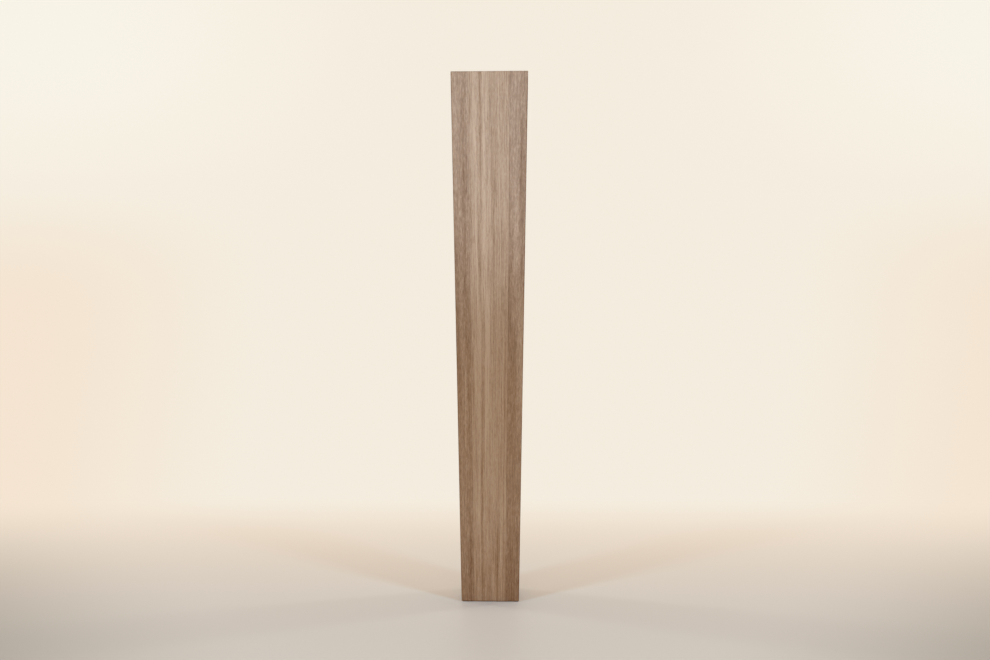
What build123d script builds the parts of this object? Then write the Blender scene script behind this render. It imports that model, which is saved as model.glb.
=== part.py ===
from build123d import *
from math import radians, tan
import os

# Table leg: a square leg with an even taper on all four sides, glued up from
# three full-depth hardwood staves, with threaded inserts let into its top end.
# Millimetres. +Z is up and the origin is the middle of the foot's face.
# The face that shows all three staves looks towards -Y.

# Outer form
leg_height = 720.0
top_width = 105.0  # side of the square top end
foot_width = 78.0  # side of the square foot

# Glue lines: width of each side stave where it meets the top end and the foot.
# The centre stave is what is left between them.
left_stave_top = 23.0
left_stave_foot = 17.2
right_stave_top = 24.5
right_stave_foot = 18.3

# Eased edges
long_arris_radius = 0.8
foot_arris_chamfer = 1.6
top_arris_chamfer = 0.5

# Screw-in insert for an M8 bolt: collar, body and hexagonal drive
insert_length = 20.0
insert_body_radius = 6.0  # over the outer thread, which bites into the wood
insert_collar_radius = 7.5
insert_collar_thickness = 1.5
insert_bore_radius = 3.4  # M8 before its thread is cut
insert_drive_flats = 8.0  # across the flats of the hexagon
insert_drive_depth = 5.0
insert_tip_chamfer = 1.0

# Holes in the top end, on a rectangle about the leg's axis
hole_spacing_x = 32.0
hole_spacing_y = 64.0
insert_recess = 0.4  # from the end grain down to the collar
pilot_radius = 5.0
pilot_depth = 32.0  # from the end grain to the drill point's shoulder
drill_point_angle = 118.0


def section(height, inset=0.0):
    """The leg's square section at a height, drawn in by the depth of an end's chamfer."""
    side = foot_width + (top_width - foot_width) * height / leg_height - 2 * inset
    return (Plane.XY.offset(height) * RectangleRounded(side, side, long_arris_radius)).face()


def tapered_blank():
    """The whole glued-up leg: four flat faces, with its arrises eased at both ends."""
    foot = [section(0, foot_arris_chamfer), section(foot_arris_chamfer)]
    top = [section(leg_height - top_arris_chamfer), section(leg_height, top_arris_chamfer)]
    return loft(foot + top, ruled=True)


def insert_hole():
    """One blind hole below z = 0: collar seat, body seat, pilot and drill point."""
    collar_seat = insert_recess + insert_collar_thickness
    body_seat = insert_recess + insert_length
    point_length = pilot_radius / tan(radians(drill_point_angle / 2))
    outline = Polyline(
        (0, 0),
        (insert_collar_radius, 0),
        (insert_collar_radius, -collar_seat),
        (insert_body_radius, -collar_seat),
        (insert_body_radius, -body_seat),
        (pilot_radius, -body_seat),
        (pilot_radius, -pilot_depth),
        (0, -pilot_depth - point_length),
        close=True,
    )
    return revolve(Plane.XZ * make_face(outline), Axis.Z)


def threaded_insert():
    """One insert below z = 0, open from its hexagonal drive to its tip."""
    outline = Polyline(
        (0, 0),
        (insert_collar_radius, 0),
        (insert_collar_radius, -insert_collar_thickness),
        (insert_body_radius, -insert_collar_thickness),
        (insert_body_radius, insert_tip_chamfer - insert_length),
        (insert_body_radius - insert_tip_chamfer, -insert_length),
        (0, -insert_length),
        close=True,
    )
    body = revolve(Plane.XZ * make_face(outline), Axis.Z)
    hexagon = RegularPolygon(insert_drive_flats / 2, 6, major_radius=False)
    return body - extrude(Circle(insert_bore_radius), -insert_length) - extrude(hexagon, -insert_drive_depth)


def glue_plane(foot_x, top_x):
    """The plane of one glue line, facing the leg's right-hand side."""
    return Plane((foot_x, 0, 0), x_dir=(0, 1, 0), z_dir=(leg_height, 0, foot_x - top_x))


def staves(leg):
    """The leg parted at its two glue lines."""
    left_line = glue_plane(left_stave_foot - foot_width / 2, left_stave_top - top_width / 2)
    right_line = glue_plane(foot_width / 2 - right_stave_foot, top_width / 2 - right_stave_top)
    rest = split(leg, bisect_by=left_line, keep=Keep.TOP)
    return {
        "left_stave": split(leg, bisect_by=left_line, keep=Keep.BOTTOM),
        "centre_stave": split(rest, bisect_by=right_line, keep=Keep.BOTTOM),
        "right_stave": split(rest, bisect_by=right_line, keep=Keep.TOP),
    }


hole_pattern = GridLocations(hole_spacing_x, hole_spacing_y, 2, 2)
end_grain = Location((0, 0, leg_height))
collar_level = Location((0, 0, leg_height - insert_recess))

leg = tapered_blank() - [end_grain * place * insert_hole() for place in hole_pattern]
nodes = staves(leg)
nodes["threaded_inserts"] = Compound([collar_level * place * threaded_insert() for place in hole_pattern])

os.makedirs("parts", exist_ok=True)
for node_name, shape in nodes.items():
    export_step(shape, f"parts/{node_name}.step")
    print(node_name, round(shape.volume), "mm3")
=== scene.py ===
from math import atan, cos, hypot, pi, radians, sin

import bpy
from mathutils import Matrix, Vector


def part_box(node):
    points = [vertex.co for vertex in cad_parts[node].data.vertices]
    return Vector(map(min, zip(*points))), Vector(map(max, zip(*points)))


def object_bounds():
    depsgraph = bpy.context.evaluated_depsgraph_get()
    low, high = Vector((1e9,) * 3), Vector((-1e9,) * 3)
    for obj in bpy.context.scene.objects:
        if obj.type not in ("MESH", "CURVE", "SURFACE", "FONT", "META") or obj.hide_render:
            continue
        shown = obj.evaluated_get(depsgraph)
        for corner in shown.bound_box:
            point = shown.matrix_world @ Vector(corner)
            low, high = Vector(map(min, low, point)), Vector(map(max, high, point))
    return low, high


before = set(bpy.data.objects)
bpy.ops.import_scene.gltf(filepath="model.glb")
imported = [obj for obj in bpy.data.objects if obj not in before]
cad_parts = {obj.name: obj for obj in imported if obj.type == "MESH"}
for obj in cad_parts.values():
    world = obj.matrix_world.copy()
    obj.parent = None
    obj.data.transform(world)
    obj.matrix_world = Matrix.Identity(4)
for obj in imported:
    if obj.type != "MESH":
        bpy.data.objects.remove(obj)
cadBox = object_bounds()
print("frame loaded")

# The whole leg, in millimetres: what the wood's grain is laid out by. A seam is how far
# a glue line lies to the right of the leg's axis, at the foot and at the top.
leg = {
    "top": (cadBox[1].x - cadBox[0].x) * 1000,
    "foot": 78.0,
    "height": cadBox[1].z * 1000,
    "leftSeam": (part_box("left_stave")[1].x * 1000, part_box("centre_stave")[0].x * 1000),
    "rightSeam": (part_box("right_stave")[0].x * 1000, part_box("centre_stave")[1].x * 1000),
}
face = leg["top"] / 2  # how far the faces stand from the axis at the top


def fromScreen(red, green, blue):  # a colour as a screen shows it, 0 to 255, for a socket
    return [((level / 255 + 0.055) / 1.055) ** 2.4 for level in (red, green, blue)] + [1.0]


class Wire:  # one output of a node: arithmetic on it adds Math nodes
    def __init__(self, finish, socket):
        self.finish, self.socket = finish, socket

    def math(self, operation, *values):
        inputs = dict(enumerate(values))
        return self.finish.node("Math", {"operation": operation}, inputs)

    def __add__(self, other):
        return self.math("ADD", self, other)

    def __sub__(self, other):
        return self.math("SUBTRACT", self, other)

    def __rsub__(self, other):
        return self.math("SUBTRACT", other, self)

    def __mul__(self, other):
        return self.math("MULTIPLY", self, other)

    def __truediv__(self, other):
        return self.math("DIVIDE", self, other)

    def __rtruediv__(self, other):
        return self.math("DIVIDE", other, self)

    def __abs__(self):
        return self.math("ABSOLUTE", self)

    __radd__, __rmul__ = __add__, __mul__

    def squared(self):
        return self.math("MULTIPLY", self, self)

    def root(self):
        return self.math("SQRT", self)

    def sine(self):
        return self.math("SINE", self)

    def most(self, other):
        return self.math("MAXIMUM", self, other)

    def bell(self, place, halfWidth):  # 1 at the place, fading away on both sides
        return self.math("EXPONENT", ((self - place) / halfWidth).squared() * -1)

    def rise(self, start, end, low=0.0, high=1.0):  # smooth step from low to high
        sockets = {"Value": self, "From Min": start, "From Max": end, "To Min": low, "To Max": high}
        return self.finish.node("MapRange", {"interpolation_type": "SMOOTHSTEP"}, sockets)


class Finish:  # one node tree, of a material or of the world
    def __init__(self, owner):
        owner.use_nodes = True
        self.owner, self.tree = owner, owner.node_tree
        self.tree.nodes.clear()

    def node(self, kind, settings=None, inputs=None, output=0):
        made = self.tree.nodes.new("ShaderNode" + kind)
        for name, value in (settings or {}).items():
            setattr(made, name, value)
        for name, value in (inputs or {}).items():
            if isinstance(value, Wire):
                self.tree.links.new(value.socket, made.inputs[name])
            else:
                made.inputs[name].default_value = value
        return Wire(self, made.outputs[output]) if made.outputs else None

    def axes(self, vector):
        split = self.node("SeparateXYZ", inputs={0: vector}).socket.node
        return [Wire(self, socket) for socket in split.outputs]

    def millimetres(self):  # a point's place on the object
        return [metres * 1000 for metres in self.axes(self.node("TexCoord", output="Object"))]

    def noise(self, x, y, z, detail=2.0, roughness=0.5):  # about -0.5 to 0.5
        point = self.node("CombineXYZ", inputs={0: x, 1: y, 2: z})
        sockets = {"Vector": point, "Scale": 1.0, "Detail": detail, "Roughness": roughness}
        return self.node("TexNoise", inputs=sockets) - 0.5

    def mix(self, amount, first, second, how="MIX"):
        settings = {"data_type": "RGBA", "blend_type": how}
        return self.node("Mix", settings, {0: amount, 6: first, 7: second}, output=2)

    def bump(self, height):  # a height in millimetres
        return self.node("Bump", inputs={"Strength": 1.0, "Distance": 0.001, "Height": height})

    def surface(self, shader):
        self.node("OutputMaterial", inputs={"Surface": shader})


def seamDistance(x, z, seam):  # millimetres from a glue line, on either side of it
    atFoot, atTop = seam
    return abs(x - atFoot - z * ((atTop - atFoot) / leg["height"]))


# A streak is where it comes out on the front face, its half width, how much paler it is,
# the height of its middle, how far it reaches up and down, and how it leans.
def streak(place, halfWidth, gain, height, reach, lean=0.0):
    return place, halfWidth, gain, height, reach, lean


# One timber, oiled. Tones run from 0, dark, by 0.5, middle, to 1, light. A pattern's pitch
# is how fast it changes across the grain, in a millimetre, and its climb how fast it
# changes up the leg.
wood = {
    "dark": fromScreen(104, 67, 33),
    "middle": fromScreen(138, 105, 69),
    "light": fromScreen(170, 140, 102),
    "drift": {"pitch": 0.012, "climb": 0.0045, "reach": 4.0},  # the grain wanders sideways
    "wideRings": {"pitch": 0.11, "climb": 0.0022, "detail": 2.0, "roughness": 0.55},
    "wideRingTone": 0.06,
    "fineRings": {"pitch": 0.45, "climb": 0.0040, "detail": 3.0, "roughness": 0.65},
    "fineRingTone": 0.20,
    "lines": {"pitch": 0.60, "climb": 0.010, "detail": 3.0, "roughness": 0.8},
    "dashes": {"pitch": 0.75, "detail": 2.0, "roughness": 0.8},  # each stave has its own climb
    "specks": {"pitch": 0.75, "climb": 0.20, "detail": 1.0, "roughness": 0.8},
    "pores": {"pitch": 1.4, "climb": 0.10, "detail": 1.0, "roughness": 0.5},
    "poreEdge": (0.10, 0.22),
    "poreTone": 0.16,
    "poreDepth": 0.05,
    "poreRoughness": 0.20,
    "fibreDepth": 0.010,
    "glueLine": 0.22,
    "glueTone": 0.3,
    "glueDepth": 0.04,
    "endGrainTurn": (0.6, 0.9),  # how far a face looks up or down before it is end grain
    "endGrainTone": 0.6,
    "roughness": 0.60,
    "bareShine": 0.15,
    "film": 0.80,  # how much of the oil's film lies on the wood: more on pale, dense wood
    "filmVariation": 0.9,
    "filmRoughness": 0.24,
    # painted shade: how much the wood is darkened towards the foot, and how high up
    "footShade": 0.20,
    "footShadeHeight": 140.0,
    # the wood is made darker along the leg's upright corners, this much and this wide
    "arrisDarkening": 0.25,
    "arrisWidth": 1.6,
}
# Each stave has its own pith, tone and streaks, which are listed from left to right, and
# its own strength of lines, dashes and specks.
staves = {
    "left_stave": {
        "pith": (72.0, -20.0),
        "frontPlace": -41.0,
        "tone": 0.53,
        "streaks": [
            streak(-49.5, 3.5, -0.13, 350, 140), streak(-46, 4.0, 0.08, 640, 70),
            streak(-45.5, 3.0, -0.09, 400, 50), streak(-42.5, 4.5, 0.12, 60, 70),
            streak(-40, 20, 0.05, 280, 115), streak(-38.8, 2.4, 0.11, 700, 50),
            streak(-38.5, 3.6, 0.07, 265, 70), streak(-37.5, 3.6, -0.15, 580, 140),
            streak(-36.5, 3.0, -0.08, 380, 60), streak(-33.5, 3.0, -0.12, 325, 70),
            streak(-33.5, 2.6, -0.14, 60, 60), streak(-33, 3.0, -0.09, 235, 70),
            streak(-31, 1.5, 0.10, 690, 40), streak(-31, 1.5, 0.08, 430, 50),
        ],
        "lines": 0.75,
        "dashes": 0.85,
        "dashClimb": 0.06,
        "specks": 0.7,
        "seed": 3.0,
        "seams": ["leftSeam"],
    },
    "centre_stave": {
        "pith": (-300.0, -face),
        "frontPlace": 0.0,
        "tone": 0.75,
        "streaks": [
            streak(-27, 4.0, -0.11, 300, 60), streak(-25, 4.0, 0.05, 60, 100),
            streak(-20, 3.2, 0.17, 590, 170), streak(-17, 2.6, 0.14, 335, 70),
            streak(-16.2, 2.8, -0.14, 450, 60), streak(-14.2, 2.4, -0.17, 450, 65),
            streak(-13.0, 1.6, -0.14, 650, 90), streak(-12.4, 2.2, -0.20, 150, 110),
            streak(-10.6, 2.2, -0.18, 290, 95), streak(-10, 14, 0.15, 340, 170),
            streak(-10.0, 2.0, 0.17, 480, 40), streak(-9.2, 1.8, -0.16, 300, 100),
            streak(-8.8, 1.8, 0.11, 110, 90), streak(-8.0, 2.2, 0.16, 640, 190),
            streak(-6.4, 1.8, 0.13, 625, 60), streak(-5.9, 1.9, 0.20, 270, 70),
            streak(-5.8, 0.6, -0.16, 220, 110), streak(-5.3, 1.4, 0.16, 412, 28, -0.21),
            streak(-4.6, 2.0, 0.22, 370, 50), streak(-1.8, 1.6, 0.08, 300, 90),
            streak(-1.0, 4.0, 0.08, 590, 60), streak(0, 1.6, 0.12, 540, 60),
            streak(2.0, 2.0, -0.12, 375, 35), streak(6.0, 2.6, -0.14, 560, 120),
            streak(12.8, 2.4, -0.14, 60, 80), streak(14.5, 1.8, 0.11, 545, 40),
            streak(15, 6.0, -0.10, 325, 75), streak(19.0, 2.2, 0.04, 60, 70),
            streak(24, 2.0, 0.06, 590, 50), streak(25, 2.4, -0.12, 300, 140),
        ],
        "lines": 1.25,
        "dashes": 0.7,
        "dashClimb": 0.03,
        "specks": 0.5,
        "seed": 11.0,
        "seams": ["leftSeam", "rightSeam"],
    },
    "right_stave": {
        "pith": (-66.0, 12.0),
        "frontPlace": 40.0,
        "tone": 0.48,
        "streaks": [
            streak(29, 3.0, -0.15, 610, 50), streak(31.5, 3.0, -0.08, 400, 90),
            streak(35.5, 4.0, 0.12, 690, 40), streak(37, 3.0, -0.10, 50, 60),
            streak(41, 4.2, 0.14, 480, 170, -0.044), streak(46, 3.4, -0.18, 450, 45),
            streak(46.5, 3.2, -0.18, 590, 70), streak(47.5, 4.2, 0.27, 300, 80),
            streak(49, 3.5, 0.05, 60, 80),
        ],
        "lines": 0.85,
        "dashes": 0.85,
        "dashClimb": 0.055,
        "specks": 0.7,
        "seed": 23.0,
        "seams": ["rightSeam"],
    },
}


def woodFinish(name, stave):
    finish = Finish(bpy.data.materials.new(name))
    x, y, z = finish.millimetres()
    upward = finish.axes(finish.node("TexCoord", output="Normal"))[2]
    seed = stave["seed"]

    # The grain fans out with the taper, so it is laid out on a straight leg as wide as the top.
    fan = leg["top"] / (leg["foot"] + z * ((leg["top"] - leg["foot"]) / leg["height"]))
    plainAcross, deep = x * fan, y * fan
    drift = wood["drift"]
    wander = finish.noise(plainAcross * drift["pitch"] + seed, deep * drift["pitch"], z * drift["climb"])
    across = plainAcross + wander * drift["reach"]

    # Growth rings round the pith. On the front face, a ring's value is its place across the leg.
    pithX, pithY = stave["pith"]
    front = stave["frontPlace"]
    radius = ((across - pithX).squared() + (deep - pithY).squared()).root()
    ring = radius - hypot(front - pithX, face + pithY)
    ring = ring * (1 if pithX < front else -1) + front

    def rings(pitch, climb, detail, roughness):
        return finish.noise(ring * pitch + seed, 0.0, z * climb, detail, roughness)

    def grain(pitch, climb, detail, roughness):
        return finish.noise(across * pitch, deep * pitch, z * climb + seed, detail, roughness)

    tone = rings(**wood["wideRings"]) * wood["wideRingTone"] + stave["tone"]
    tone = tone + rings(**wood["fineRings"]) * wood["fineRingTone"]
    for place, halfWidth, gain, height, reach, lean in stave["streaks"]:
        bent = ring - (z - height) * lean
        tone = tone + bent.bell(place, halfWidth) * z.bell(height, reach) * gain
    figure = tone

    # Fibres run up the leg: long fine lines, dashes between them, specks and open pores.
    lines = grain(**wood["lines"])
    dashes = grain(**wood["dashes"], climb=stave["dashClimb"])
    specks = grain(**wood["specks"])
    pores = grain(**wood["pores"]).rise(*wood["poreEdge"])
    tone = tone + lines * stave["lines"] + dashes * stave["dashes"] + specks * stave["specks"]
    tone = tone - pores * wood["poreTone"]
    # painted shade: the wood is darkened towards the foot
    tone = tone - z.rise(0.0, wood["footShadeHeight"], wood["footShade"], 0.0)
    # the wood is made darker along the leg's upright corners
    edge = (face - wood["arrisWidth"], face)
    arris = abs(plainAcross).rise(*edge) * abs(deep).rise(*edge)
    tone = tone - arris * wood["arrisDarkening"]

    colour = finish.mix(tone * 2 - 1, wood["middle"], wood["light"])
    colour = finish.mix(1 - tone * 2, colour, wood["dark"])
    endGrain = abs(upward).rise(*wood["endGrainTurn"], 0.0, wood["endGrainTone"])
    colour = finish.mix(endGrain, colour, wood["dark"], "MULTIPLY")
    glue = 0.0
    for seam in stave["seams"]:
        glue = seamDistance(x, z, leg[seam]).bell(0.0, wood["glueLine"]) + glue
    colour = finish.mix(glue * wood["glueTone"], colour, wood["dark"])

    # The oil's film follows the broad figure more closely than single fibres.
    film = (figure + tone - 2 * stave["tone"]) * wood["filmVariation"] + wood["film"] - endGrain
    relief = lines * wood["fibreDepth"] - pores * wood["poreDepth"] - glue * wood["glueDepth"]
    sockets = {
        "Base Color": colour,
        "Roughness": pores * wood["poreRoughness"] + wood["roughness"],
        "Specular IOR Level": wood["bareShine"],
        "Coat Weight": film,
        "Coat Roughness": wood["filmRoughness"],
        "Normal": finish.bump(relief),
    }
    finish.surface(finish.node("BsdfPrincipled", inputs=sockets))
    return finish.owner


for nodeName, stave in staves.items():
    material = woodFinish(nodeName + "_wood", stave)
    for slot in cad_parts[nodeName].material_slots:
        slot.material = material
print("wood finished")

# Bright zinc plate on the inserts, slightly dulled, with the M8 thread in their bores.
zinc = {
    "bright": fromScreen(200, 198, 190),
    "dull": fromScreen(160, 156, 140),
    "roughness": 0.34,
    "patches": {"pitch": 0.5, "detail": 3.0},
    "patchEdge": (-0.2, 0.2),  # from dull patches to bright ones, which are smoother
    "brightRoughness": -0.1,
    "grit": {"pitch": 9.0, "detail": 2.0},
    "gritDepth": 0.012,
    "gritRoughness": 0.15,
    "spacing": (32.0, 64.0),  # from bore to bore
    "threadPitch": 1.25,
    "threadDepth": 0.3,
    "threadEdge": (3.6, 3.5),  # the thread ends this far from a bore's axis
}


def zincFinish():
    finish = Finish(bpy.data.materials.new("insert_zinc"))
    x, y, z = finish.millimetres()

    def mottle(pitch, detail):
        return finish.noise(x * pitch, y * pitch, z * pitch, detail)

    bright = mottle(**zinc["patches"]).rise(*zinc["patchEdge"])
    grit = mottle(**zinc["grit"])
    boreX, boreY = [abs(place) - gap / 2 for place, gap in zip((x, y), zinc["spacing"])]
    inBore = (boreX.squared() + boreY.squared()).root().rise(*zinc["threadEdge"])
    thread = (z * (2 * pi / zinc["threadPitch"])).sine() * inBore
    sockets = {
        "Base Color": finish.mix(bright, zinc["dull"], zinc["bright"]),
        "Roughness": bright * zinc["brightRoughness"] + grit * zinc["gritRoughness"] + zinc["roughness"],
        "Metallic": 1.0,
        "Normal": finish.bump(grit * zinc["gritDepth"] + thread * zinc["threadDepth"]),
    }
    finish.surface(finish.node("BsdfPrincipled", inputs=sockets))
    return finish.owner


insertFinish = zincFinish()
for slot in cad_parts["threaded_inserts"].material_slots:
    slot.material = insertFinish
print("inserts finished")

# Camera: level, at about half the leg's height, a little to the right of the leg's middle.
lens = {
    "imageWidth": 990,  # pixels
    "focal": 1111,  # pixels
    "legPlace": 490.8,  # where the leg's axis falls across the image, in pixels
    "sensorWidth": 36,  # millimetres
    "turn": 1.8,  # degrees round the leg
    "roll": 0.07,  # degrees
    "away": 1.5526,  # metres, and so is the height
    "height": 0.3702,
}
bpy.ops.object.camera_add()
camera = bpy.context.object
turn = radians(lens["turn"])
camera.location = (lens["away"] * sin(turn), -lens["away"] * cos(turn), lens["height"])
offCentre = atan((lens["imageWidth"] / 2 - lens["legPlace"]) / lens["focal"])
camera.rotation_euler = (radians(90), radians(lens["roll"]), turn - offCentre)
camera.data.sensor_width = lens["sensorWidth"]
camera.data.lens = lens["sensorWidth"] * lens["focal"] / lens["imageWidth"]
bpy.context.scene.camera = camera
bpy.context.scene.view_settings.view_transform = "Standard"
print("camera placed")

# Studio: a pale floor that fades into a cream surround. The cream shows to the camera and
# in mirror images alone and lights nothing. Places on the surround are slopes of the line
# of sight, sideways or upwards. Those on the floor are metres from the leg, where y runs
# away from the camera.
studio = {
    "cream": fromScreen(244, 236, 222),
    "paintedLightHigh": fromScreen(248, 243, 231),  # painted pools of lamp light, high up at the sides
    "highAside": (0.05, 0.42),
    "highUp": (0.06, 0.26),
    "paintedWarmLight": fromScreen(244, 228, 209),  # painted warm light, low down at the sides
    "lowAside": (0.22, 0.46),
    "lowUp": (0.02, 0.16),
    "behind": (0.50, 0.34, 0.25, 1.0),  # light from the lit backdrop's side
    "before": (0.49, 0.15, 0.02, 1.0),  # light from the dim side, where the camera stands
    "lightTurn": (-0.3, 0.3),
    "mirrorTurn": (-0.1, 0.1),  # only the part behind the leg is mirrored
    "floorRadius": 14.0,
    "floorSides": 96,
    "floor": fromScreen(208, 193, 163),
    "floorRoughness": 0.5,
    "fade": (-0.35, 0.86),  # from the lit floor to the glow of the surround
    "warmth": (0.35, 0.95),  # where that glow turns from warm to cream
    "far": (1.1, 2.2),  # where the floor is lost in the glow in every direction
    "contactAside": (0.0, 0.06),  # painted shade: the glow is cut out round the foot, so the floor's real contact shadow shows there
    "contactAway": (-0.05, 0.04),
    # painted shade on the floor, darker towards the picture's lower corners
    "floorCornerShade": fromScreen(141, 124, 95),
    "corner": (0.38, 0.98),  # where painted shade darkens the floor towards the picture's lower corners
    "cornerSlope": 0.5,  # how fast that line opens out, going away from the camera
    "cornerEnd": (1.05, 0.72),  # past the picture's sides the camera sees it no more
    "nearEnd": (-0.9, -0.4),  # nor nearer than the picture's lower edge
    "leastDepth": 0.5,  # the cream is worked out no nearer to the camera than this
}


def creamAt(finish, sideways, upwards):  # the surround's colour along a line of sight, with painted lamp light at its sides
    low = abs(sideways).rise(*studio["lowAside"]) * (1 - upwards.rise(*studio["lowUp"]))
    high = abs(sideways).rise(*studio["highAside"]) * upwards.rise(*studio["highUp"])
    return finish.mix(high, finish.mix(low, studio["cream"], studio["paintedWarmLight"]), studio["paintedLightHigh"])


def seen(finish):  # 1 for a ray straight from the camera, and 1 for a mirrored or bent one
    kinds = ("Is Camera Ray", "Is Glossy Ray", "Is Transmission Ray")
    straight, mirrored, bent = [finish.node("LightPath", output=kind) for kind in kinds]
    return straight, mirrored.most(bent)


def floorFinish():
    finish = Finish(bpy.data.materials.new("studio_floor"))
    x, y, z = finish.axes(finish.node("TexCoord", output="Object"))
    depth = (y + lens["away"]).most(studio["leastDepth"])
    cream = creamAt(finish, x / depth, (z - lens["height"]) / depth)
    far = (x.squared() + y.squared()).root().rise(*studio["far"])
    # near the leg the floor's glow is painted warm light, further off cream
    cream = finish.mix(y.rise(*studio["warmth"]).most(far), studio["paintedWarmLight"], cream)
    straight, mirrored = seen(finish)
    # painted shade: round the foot the glow is cut out, leaving the floor darker there over its real
    # contact shadow
    contact = x.bell(*studio["contactAside"]) * y.bell(*studio["contactAway"])
    fade = y.rise(*studio["fade"]) * straight.most(mirrored)
    fade = fade.most(far * straight) * (1 - contact)
    aside = abs(x) - y * studio["cornerSlope"]
    inPicture = aside.rise(*studio["cornerEnd"]) * y.rise(*studio["nearEnd"])
    # painted shade: the floor darkens towards the picture's lower corners
    corner = aside.rise(*studio["corner"]) * inPicture.most(1 - straight)
    colour = finish.mix(corner, studio["floor"], studio["floorCornerShade"])
    sockets = {"Base Color": colour, "Roughness": studio["floorRoughness"]}
    paper = finish.node("BsdfPrincipled", inputs=sockets)
    glow = finish.node("Emission", inputs={"Color": cream, "Strength": 1.0})
    finish.surface(finish.node("MixShader", inputs={0: fade, 1: paper, 2: glow}))
    return finish.owner


def surround():
    world = bpy.data.worlds.new("studio_surround")
    bpy.context.scene.world = world
    finish = Finish(world)
    x, y, z = finish.axes(finish.node("TexCoord", output="Generated"))
    cream = creamAt(finish, x / abs(y), z / abs(y))
    backdrop = finish.node("Background", inputs={"Color": cream, "Strength": 1.0})
    ambient = finish.mix(y.rise(*studio["lightTurn"]), studio["before"], studio["behind"])
    lighting = finish.node("Background", inputs={"Color": ambient, "Strength": 1.0})
    straight, mirrored = seen(finish)
    facing = (y.rise(*studio["mirrorTurn"]) * mirrored).most(straight)
    both = finish.node("MixShader", inputs={0: facing, 1: lighting, 2: backdrop})
    finish.node("OutputWorld", inputs={"Surface": both})


bpy.ops.object.select_all(action="DESELECT")
bpy.ops.mesh.primitive_circle_add(
    vertices=studio["floorSides"], radius=studio["floorRadius"], fill_type="NGON"
)
floor = bpy.context.object
floor.name = "studio_floor"
floor.data.materials.append(floorFinish())
surround()
print("studio built")

# Soft lamps, on spheres round the middle of the leg: degrees, metres and watts.
lamps = {
    "keys": {
        "turns": {"keyLeft": -42, "keyRight": 42},
        "lift": 39,
        "away": 4.2,
        "size": (0.5, 0.5),
        "power": 76,
        "colour": (0.27, 0.75, 1.38),
    },
    "backs": {
        "turns": {"backLeft": -115, "backRight": 115},
        "lift": 32,
        "away": 2.0,
        "size": (0.2, 0.2),
        "power": 7.5,
        "colour": (0.69, 0.9, 1.19),
    },
    "front": {
        "turns": {"panel": 0},
        "lift": 15.5,
        "away": 2.3,
        "size": (1.3, 1.0),
        "power": 19.5,
        "colour": (1.0, 0.965, 0.92),
    },
}
legMiddle = Vector((0, 0, cadBox[1].z / 2))


def aroundLeg(turn, lift, away):  # 0 degrees is in front of the leg, 90 on its right
    turn, lift = radians(turn), radians(lift)
    return legMiddle + away * Vector((sin(turn) * cos(lift), -cos(turn) * cos(lift), sin(lift)))


for lamp in lamps.values():
    for lampName, lampTurn in lamp["turns"].items():
        spot = aroundLeg(lampTurn, lamp["lift"], lamp["away"])
        bpy.ops.object.light_add(type="AREA", location=spot)
        light = bpy.context.object
        light.name = lampName
        light.rotation_euler = (legMiddle - spot).to_track_quat("-Z", "Y").to_euler()
        light.data.shape = "RECTANGLE"
        light.data.size, light.data.size_y = lamp["size"]
        light.data.energy = lamp["power"]
        light.data.color = lamp["colour"]
print("lamps set")
